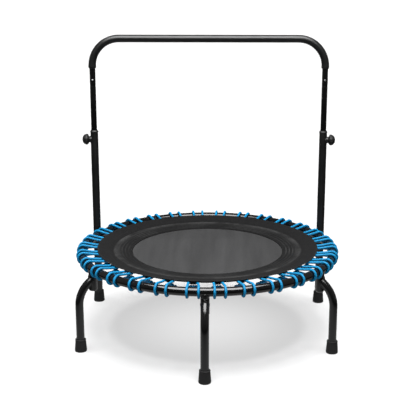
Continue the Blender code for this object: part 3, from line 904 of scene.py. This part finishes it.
def make_stitches():
    """Rows of thread along the cover's inner edge and its outer hem."""
    bm = bmesh.new()
    for radius, count in ((COVER_INNER + 0.0032, 440), (COVER_OUTER - 0.0035, 640)):
        half = STITCH_SHARE * pi / count
        for angle in angles_round(count):
            path = []
            for along in (-1.0, -0.5, 0.0, 0.5, 1.0):
                rise = 0.00035 * (1 - along**2) - 0.0001
                turn = angle + half * along
                path.append(polar(radius, turn, COVER_BASE + cover_height(radius, turn) + rise))
            add_skin(bm, tube_rows(path, THREAD_RADIUS, 6))
    mesh = mesh_of(bm, "cover_stitches", 60)
    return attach(new_piece("cover_stitches", mesh, "thread", slot="webbing"), "mat")


# Cords


def strand(side, spread, sag, slip):
    """Half a cord: from its tab, over the frame tube, round it and back to the knot."""

    def on_wrap(radius, height):
        out = smoothstep(CORD_EYE_RADIUS, RING_RADIUS - 0.02, radius)
        return polar(radius, side * spread + slip * out, height)

    eye = CORD_EYE_RADIUS
    reach = eye * sin(spread)
    path = [Vector((eye, side * (reach - CORD_BEND) * i / 3, CORD_EYE_HEIGHT)) for i in range(4)]
    for i in range(1, 7):
        angle = radians(15 * i)
        along = CORD_BEND * (1 - cos(angle))
        across = reach - CORD_BEND * (1 - sin(angle))
        path.append(Vector((eye + along, side * across, CORD_EYE_HEIGHT + CORD_RISE * i / 6)))
    clear = FRAME_TUBE + CORD_RADIUS - 0.0001
    arc = []
    half_arc = 22
    for i in range(2 * half_arc + 1):
        angle = WRAP_HALF_ANGLE * (1 - i / half_arc)
        arc.append(on_wrap(RING_RADIUS + clear * cos(angle), RING_HEIGHT + clear * sin(angle)))
    start, end = path[-1], arc[0]
    steps = 12
    for i in range(1, steps):
        share = i / steps
        path.append(start.lerp(end, share) - sag * sin(pi * share) * UP)
    path += arc
    last = KNOT_RADIUS
    tail = [
        on_wrap(0.448, 0.2935),
        on_wrap(0.428, 0.2955),
        on_wrap(0.4160, KNOT_HEIGHT - 0.0005),
        Vector((last + 0.0020, side * 0.0125, KNOT_HEIGHT)),
        Vector((last, side * 0.0080, KNOT_HEIGHT + side * 0.0008)),
        Vector((last - 0.0006, -side * 0.0085, KNOT_HEIGHT + side * 0.0030)),
        Vector((last - 0.0060, -side * 0.0150, KNOT_HEIGHT + side * 0.0015)),
        Vector((last - 0.0150, -side * 0.0165, KNOT_HEIGHT - 0.0030)),
    ]
    return path + spline([path[-1], *tail], 0.004)[1:]


def knot_path():
    """The turns drawn tight round both ends, side by side along the cord."""
    path = []
    steps = round(22 * KNOT_TURNS)
    for i in range(steps + 1):
        angle = 2 * pi * KNOT_TURNS * i / steps
        across = (i / steps - 0.5) * KNOT_TURNS * KNOT_PITCH
        out, up = KNOT_HALF_WIDTH * cos(angle), KNOT_HALF_HEIGHT * sin(angle)
        path.append(Vector((KNOT_RADIUS + out, across, KNOT_HEIGHT + up)))
    return path


def make_cords():
    chance = random.Random(7)
    for i in range(CORD_COUNT):
        turn = STATION_ANGLES["front"] + 360.0 / CORD_COUNT * (i + 0.5)
        halves = []
        for side in (-1, 1):
            spread = CORD_SPREAD + radians(chance.uniform(-UNEVEN_SPREAD, UNEVEN_SPREAD))
            slip = CORD_SLIP if i == SLIPPED_CORD else 0.0
            halves.append(strand(side, spread, chance.uniform(0.0, MOST_SAG), slip))
        path = halves[0][::-1] + halves[1][1:]
        bm = bmesh.new()
        add_skin(bm, tube_rows(path, CORD_RADIUS, 14))
        add_skin(bm, tube_rows(knot_path(), CORD_RADIUS * 0.96, 12))
        name = f"bungee_{i + 1:02d}"
        mesh = mesh_of(bm, name, 60)
        mesh.transform(turned(turn))
        cord = new_piece(name, mesh, "bungee", f"cord_{i + 1:02d}")
        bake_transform(cord)


# Handlebar


def tubes_meeting(point, axis, size, other_point, other_size, steps=48):
    """Where a tube's surface lines, run along its axis, enter an upright tube."""
    turn = axis.to_track_quat("Z", "Y").to_matrix()
    path = []
    for a in angles_round(steps):
        line = point + turn @ polar(size, a)
        off = (line - other_point).xy
        along = axis.xy
        b, c = off.dot(along), off.dot(off) - other_size**2
        path.append(line + axis * (-b - sqrt(max(b * b - c, 0.0))))
    return path


def make_lower_post(name):
    spot = middle(f"{name}_post_bush")
    angle = POST_ANGLES[name]
    outwards = 1 if spot.x > 0 else -1
    post = Vector((spot.x, spot.y, 0.0))
    stub = at_angle(RING_RADIUS, angle)
    lift = ARM_HEIGHT * UP
    axis = (post - stub).normalized()
    boss_base = post + CLAMP_HEIGHT * UP
    to_side = Matrix.Translation(boss_base) @ Matrix.Rotation(outwards * pi / 2, 4, "Y")
    bore = BUSH_SLEEVE + GAP
    bore_bottom = BUSH_BOTTOM - 0.01
    tube = filleted(
        (0.0, FOOT_FLOOR),
        (POST_TUBE, FOOT_FLOOR),
        (POST_TUBE, POST_TOP, 0.0006),
        (bore, POST_TOP, 0.0004),
        (bore, bore_bottom),
        (0.0, bore_bottom),
    )
    boss = filleted(
        (0.0, 0.0),
        (BOSS_RADIUS, 0.0),
        (BOSS_RADIUS, BOSS_END, 0.0010),
        (STUD_HOLE, BOSS_END, 0.0004),
        (STUD_HOLE, BOSS_END - 0.003),
        (0.0, BOSS_END - 0.003),
    )
    mesh = joined(
        solid(lathe_rows(tube, TUBE_SIDES, Matrix.Translation(post))),
        solid(tube_rows([stub + lift, post + lift], ARM_TUBE)),
        solid(stub_rows(Matrix.Translation(stub))),
        solid(lathe_rows(boss, DETAIL_SIDES, to_side)),
    )
    bm = bmesh.new()
    bm.from_mesh(mesh)
    half_way = (stub + post) / 2 + lift
    add_bead(bm, tubes_meeting(half_way, -axis, ARM_TUBE, stub, FRAME_TUBE), 5.0)
    add_bead(bm, tubes_meeting(half_way, axis, ARM_TUBE, post, POST_TUBE), 6.0)
    side = Vector((outwards, 0.0, 0.0))
    start = boss_base + 2 * BOSS_END * side
    add_bead(bm, tubes_meeting(start, -side, BOSS_RADIUS, post, POST_TUBE), 7.0)
    mesh = mesh_of(bm, "post", 40)
    node = f"{name}_lower_post"
    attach(new_piece(f"{name}_post_tube", mesh, "post_paint", node, slot="leg_paint"), "frame")


def make_bush(name):
    profile = filleted(
        (BUSH_BORE, BUSH_BOTTOM),
        (BUSH_SLEEVE, BUSH_BOTTOM, 0.0004),
        (BUSH_SLEEVE, POST_TOP + GAP),
        (BUSH_RADIUS - 0.0006, POST_TOP + GAP, 0.0005),
        (BUSH_RADIUS, POST_TOP + 0.0014, 0.0006),
        (BUSH_RADIUS, BUSH_TOP - 0.0050, 0.0012),
        (BUSH_BORE + 0.0012, BUSH_TOP, 0.0008),
        (BUSH_BORE + 0.0004, BUSH_TOP, 0.0004),
        (BUSH_BORE, BUSH_TOP - 0.001),
    )
    mesh = solid(lathe_rows(profile, 48), "bush", 40, loop=True)
    node = f"{name}_post_bush"
    bush = new_piece(f"{name}_bush", mesh, "black_plastic", node, place=below(node))
    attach(bush, "frame")


def make_knob(name):
    """A mushroom knob with shallow grips round its rim, about its screw's axis."""
    spot = middle(f"{name}_clamp_knob")
    post = middle(f"{name}_post_bush")
    outwards = 1 if spot.x > 0 else -1
    profile = filleted(
        (STUD_BORE, 0.0150),
        (STUD_BORE, 0.0, 0.0003),
        (0.0118, 0.0, 0.0006),
        (0.0126, 0.0012, 0.0006),
        (0.0150, 0.0040, 0.0020),
        (0.0200, 0.0062, 0.0016),
        (0.0217, 0.0086, 0.0018),
        (0.0219, 0.0122, 0.0022),
        (0.0204, 0.0180, 0.0036),
        (0.0166, 0.0232, 0.0040),
        (0.0100, 0.0274, 0.0040),
        (0.0040, 0.0287, 0.0020),
        (0.0, 0.0288),
    )
    rows = []
    for radius, along in profile:
        ring = []
        depth = FLUTE_DEPTH * smoothstep(0.0185, 0.0212, radius)
        for a in angles_round(120 if radius > 1e-6 else 1):
            size = max(radius - depth * max(0.0, cos(KNOB_FLUTES * a)) ** 2, 0.0)
            ring.append(polar(size, a, KNOB_START + along))
        rows.append(ring)
    centre = Vector((post.x, post.y, CLAMP_HEIGHT))
    place = Matrix.Translation(centre) @ Matrix.Rotation(outwards * pi / 2, 4, "Y")
    mesh = solid(rows, "knob", 50)
    node = f"{name}_clamp_knob"
    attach(new_piece(f"{name}_knob", mesh, "black_plastic", node, place=place), node)


def make_upper_post(name):
    profile = filleted(
        (BAR_BORE, UPPER_POST_BOTTOM),
        (BAR_TUBE, UPPER_POST_BOTTOM, 0.0006),
        (BAR_TUBE, JOINT_SHOULDER - 0.004, 0.0008),
        (BAR_TUBE - 0.0003, JOINT_SHOULDER, 0.0003),
        (JOINT_SPIGOT, JOINT_SHOULDER, 0.0004),
        (JOINT_SPIGOT, SPIGOT_TOP),
        (JOINT_SPIGOT - 0.0015, SPIGOT_TOP),
    )
    mesh = solid(lathe_rows(profile, TUBE_SIDES), "bar_post", 40, loop=True)
    node = f"{name}_upper_post"
    post = new_piece(f"{name}_bar_post", mesh, "bar_paint", node, place=below(node))
    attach(post, "handlebar")


def bar_path(start_height, spacing):
    """Up the left side, across the top and down the right side, over round bends."""
    left = middle("left_upper_post")
    spring = BAR_HEIGHT - BAR_BEND
    rise = spring - start_height
    ups = max(2, round(rise / spacing))
    path = [Vector((left.x, left.y, start_height + rise * i / ups)) for i in range(ups)]
    steps = round(pi / 2 * BAR_BEND / spacing)
    for i in range(steps):
        angle = pi - i * pi / 2 / steps
        across = left.x + BAR_BEND + BAR_BEND * cos(angle)
        path.append(Vector((across, left.y, spring + BAR_BEND * sin(angle))))
    start = left.x + BAR_BEND
    acrosses = round(-start / spacing)
    for i in range(acrosses):
        path.append(Vector((start * (1 - i / acrosses), left.y, BAR_HEIGHT)))
    top = Vector((0.0, left.y, BAR_HEIGHT))
    return path + [top] + [Vector((-p.x, p.y, p.z)) for p in reversed(path)]


def at_button(name):
    """From the post's axis out through its front, at the button's height."""
    lift = Matrix.Translation(BUTTON_HEIGHT * UP)
    return below(f"{name}_upper_post") @ lift @ Matrix.Rotation(pi / 2, 4, "X")


def make_bar():
    """The bent tube, with a hole for each button."""
    path = bar_path(JOINT_SHOULDER + GAP, spacing=0.006)
    last = len(path) - 1
    rounding = 0.0005

    def outside(i, _):
        return BAR_TUBE - (rounding if i in (0, last) else 0.0)

    rows = tube_rows(path, outside, TUBE_SIDES, BACKWARDS)
    rows += tube_rows(path, BAR_BORE, TUBE_SIDES, BACKWARDS)[::-1]
    tube = solid(rows, "bar_tube", 40, loop=True)
    hole = [(BUTTON_RADIUS + GAP, 0.0), (BUTTON_RADIUS + GAP, 2 * BAR_TUBE)]
    holes = [solid(lathe_rows(hole, matrix=at_button(name))) for name in POST_ANGLES]
    bm = bmesh.new()
    bm.from_mesh(joined(tube, *holes, operation="DIFFERENCE"))
    mesh = mesh_of(bm, "bar_tube", 40)
    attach(new_piece("bar_tube", mesh, "bar_paint", "handlebar_tube"), "handlebar")


def make_foam():
    """The foam sleeve: uneven along its length, creased inside the bends, ragged at its ends."""
    spacing = 0.003
    path = bar_path(FOAM_END, spacing)
    last = len(path) - 1
    low = FOAM_END

    def bend_share(point):
        """1 in the middle of a bend and 0 on the straights."""
        across = abs(point.x)
        top = smoothstep(0.0, 0.3, (point.z - low) / (BAR_HEIGHT - low))
        return top * smoothstep(abs(path[0].x) - BAR_BEND - 0.01, abs(path[0].x) - 0.05, across)

    def outside(i, angle):
        point = path[i]
        from_end = min(i, last - i) * spacing
        inner = max(0.0, -sin(angle)) * bend_share(point)
        wave = sin(2 * pi * i * spacing / CREASE_PITCH + 1.2 * rough_at(i * 0.1, 0.0))
        crease = 0.00055 * inner * wave
        lumps = 0.00022 * rough_at(point.x * 25 + cos(angle), point.z * 25 + sin(angle), 2.0)
        flare = 0.0009 * exp(-(((from_end - 0.007) / 0.005) ** 2))
        flare *= 0.7 + 0.6 * rough_at(2.5 * cos(angle), 2.5 * sin(angle), point.x)
        rounding = 0.0016 * max(0.0, 1 - from_end / 0.003) ** 2
        ragged = 0.0004 * rough_at(6 * cos(angle), 6 * sin(angle), 9.0) * (from_end < 0.004)
        return FOAM_RADIUS - 0.0001 + crease + lumps + flare - rounding + ragged

    rows = tube_rows(path, outside, 48, BACKWARDS)
    rows += tube_rows(path[::4] + path[-1:], FOAM_BORE, 48, BACKWARDS)[::-1]
    foam = new_piece("foam_sleeve", solid(rows, "foam_sleeve", 60, loop=True), "foam", "foam_grip")
    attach(foam, "handlebar")


def make_button(name):
    """The domed steel button that stands out of the post's front."""
    front = BAR_TUBE + BUTTON_PROUD
    profile = filleted(
        (0.0, BUTTON_BACK),
        (BUTTON_RADIUS, BUTTON_BACK),
        (BUTTON_RADIUS, front - 0.0013, 0.0006),
        (BUTTON_RADIUS * 0.7, front - 0.0003, 0.0008),
        (0.0, front),
        steps=5,
    )
    mesh = solid(lathe_rows(profile), "button", 40)
    node = f"{name}_snap_button"
    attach(new_piece(f"{name}_button", mesh, "steel", node, place=at_button(name)), node)


def make_spring(name):
    """The leaf inside the tube, as modelled."""
    node = f"{name}_button_spring"
    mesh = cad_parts[node].data.copy()
    mesh.materials.clear()
    spring = new_piece(f"{name}_leaf_spring", mesh, "steel", node)
    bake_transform(spring)


def dress_stud(name):
    """The stud stays as modelled, in steel."""
    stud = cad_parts[f"{name}_clamp_stud"]
    stud.data.materials.clear()
    stud.data.materials.append(looks["steel"])


# Stage

FLOOR_RADIUS = 40.0
FLOOR_GLOW = 0.55
GLOSS_FLOOR_RADIUS = 6.0
FULLY_LIT_RADIUS = 0.75  # gloss sees the floor's light fade from here
LIT_RADIUS = 1.25
LIT_GLOW = 0.62
WALL_HEIGHT = 40.0
FROM_FRONT = 0.04  # strengths of the light from all round
FROM_BEHIND = 0.17
FROM_SIDES = 0.12
FROM_BELOW = 0.16
KEY_STRENGTH = 6.4
KEY_WIDTH = radians(23)
KEY_TILT = radians(2)
PANEL_WIDTH = 2.4  # the panel is what gloss shows of the light overhead
PANEL_DEPTH = 1.9
PANEL_PLACE = (0.0, -0.83, 2.4)
PANEL_POWER = 176.0
FILL_STRENGTH = 1.35
FILL_WIDTH = radians(70)
FILL_TILT = radians(62)
THROUGH_POWER = 0.55  # of the light that passes through the mat
THROUGH_RADIUS = 0.25
THROUGH_SPREAD = radians(104)
CAMERA_PLACE = (0.0640, -3.7350, 1.4956)
CAMERA_PITCH = radians(74.286)
CAMERA_YAW = 0.0172
CAMERA_LENS = 87.67  # millimetres, as its sensor's width
CAMERA_SENSOR = 36.0
CAMERA_SHIFT = (0.0016, 0.0193)  # the photo's framing


def make_floor():
    """A plain pale floor that glows a little, as a lit white sweep does."""
    new_look(
        "floor",
        Base_Color=(0.26, 0.26, 0.261, 1.0),
        Roughness=0.9,
        Specular_IOR_Level=0.1,
        Emission_Color=(1.0, 1.0, 1.0, 1.0),
        Emission_Strength=FLOOR_GLOW,
    )
    floor = disc("floor", FLOOR_RADIUS, 0.0, looks["floor"])
    floor.visible_glossy = floor.visible_diffuse = False


def glow_look(name):
    """A material that only glows, white, and its emission node."""
    material = bpy.data.materials.new(name)
    material.use_nodes = True
    tree = material.node_tree
    tree.nodes.clear()
    glow = add_node(tree, "Emission")
    tree.links.new(glow.outputs[0], add_node(tree, "OutputMaterial").inputs["Surface"])
    return material, glow


def make_lit_floor():
    """What gloss shows of the floor: the lit part round the object, fading out."""
    material, glow = glow_look("lit_floor")
    tree = material.node_tree
    place = add_node(tree, "TexCoord").outputs["Object"]
    off = add_node(tree, "VectorMath", {0: place}, operation="LENGTH").outputs["Value"]
    strength = ranged(tree, off, FULLY_LIT_RADIUS, LIT_RADIUS, LIT_GLOW, 0.0)
    tree.links.new(strength, glow.inputs["Strength"])
    lit = disc("lit_floor", GLOSS_FLOOR_RADIUS, -0.002, material)
    lit.visible_camera = lit.visible_diffuse = lit.visible_shadow = lit.visible_transmission = False


def make_backdrop():
    """A white wall far round the floor, which only the camera sees."""
    material, _ = glow_look("backdrop")
    bm = bmesh.new()
    size = {"radius1": FLOOR_RADIUS, "radius2": FLOOR_RADIUS, "depth": WALL_HEIGHT}
    bmesh.ops.create_cone(bm, cap_ends=False, segments=96, **size)
    wall = staged("backdrop", bm, WALL_HEIGHT / 2, material)
    wall.visible_diffuse = wall.visible_glossy = wall.visible_shadow = False


def disc(name, radius, height, material):
    bm = bmesh.new()
    bmesh.ops.create_circle(bm, cap_ends=True, segments=96, radius=radius)
    return staged(name, bm, height, material)


def staged(name, bm, height, material):
    """A thing on the set that isn't part of the object."""
    mesh = bpy.data.meshes.new(name)
    bm.to_mesh(mesh)
    bm.free()
    mesh.materials.append(material)
    obj = linked(name, mesh)
    obj.location.z = height
    return obj


def add_light(name, kind, power, hidden_from, place=(0.0, 0.0, 0.0), tilt=0.0, **settings):
    """A light that one kind of ray doesn't see, tilted from overhead towards the viewer."""
    light = bpy.data.lights.new(name, kind)
    light.energy = power
    for key, value in settings.items():
        setattr(light, key, value)
    lamp = linked(name, light)
    lamp.location = place
    lamp.rotation_euler = (tilt, 0.0, 0.0)
    setattr(lamp, f"visible_{hidden_from}", False)


def make_lights():
    """The key and the fill light surfaces; the panel shows in gloss; some light passes the mat."""
    add_light("overhead", "SUN", KEY_STRENGTH, "glossy", tilt=KEY_TILT, angle=KEY_WIDTH)
    add_light("front_fill", "SUN", FILL_STRENGTH, "glossy", tilt=FILL_TILT, angle=FILL_WIDTH)
    panel = {"shape": "RECTANGLE", "size": PANEL_WIDTH, "size_y": PANEL_DEPTH}
    add_light("overhead_panel", "AREA", PANEL_POWER, "diffuse", PANEL_PLACE, **panel)
    disk = {"shape": "DISK", "size": 2 * THROUGH_RADIUS, "spread": THROUGH_SPREAD}
    under_mat = (0.0, 0.0, SHEET_BOTTOM - 0.02)
    add_light("through_the_mat", "AREA", THROUGH_POWER, "glossy", under_mat, **disk)


def make_world():
    """Dim light from all round: more from behind, from the sides and off the floor."""
    world = bpy.data.worlds.new("studio")
    world.use_nodes = True
    tree = world.node_tree
    heading = add_node(tree, "SeparateXYZ", {"Vector": add_node(tree, "TexCoord").outputs["Generated"]})
    back = ranged(tree, heading.outputs["Y"], -0.7, 0.9, FROM_FRONT, FROM_BEHIND)
    side = calc(tree, "ABSOLUTE", heading.outputs["X"])
    side = ranged(tree, side, 0.45, 0.95, 0.0, FROM_SIDES)
    low = ranged(tree, heading.outputs["Z"], -0.4, 0.0, FROM_BELOW, 0.0)
    strength = calc(tree, "ADD", back, side, low)
    tree.links.new(strength, tree.nodes["Background"].inputs["Strength"])
    tree.nodes["Background"].inputs["Color"].default_value = (1.0, 1.0, 1.0, 1.0)
    bpy.context.scene.world = world


def make_camera():
    """At the photo's viewing angle."""
    data = bpy.data.cameras.new("camera")
    data.lens = CAMERA_LENS
    data.sensor_width = CAMERA_SENSOR
    data.shift_x, data.shift_y = CAMERA_SHIFT
    camera = linked("camera", data)
    camera.location = CAMERA_PLACE
    camera.rotation_euler = (CAMERA_PITCH, 0.0, CAMERA_YAW)
    bpy.context.scene.camera = camera


make_looks()
make_frame_ring()
make_legs()
make_bolts()
make_feet()
make_mat()
make_hem()
make_cover()
make_cords()
for side in POST_ANGLES:
    make_lower_post(side)
    make_bush(side)
    make_knob(side)
    make_upper_post(side)
    make_button(side)
    make_spring(side)
    dress_stud(side)
make_bar()
make_foam()
make_floor()
make_lit_floor()
make_backdrop()
make_lights()
make_world()
make_camera()
bpy.context.scene.view_settings.view_transform = "Standard"
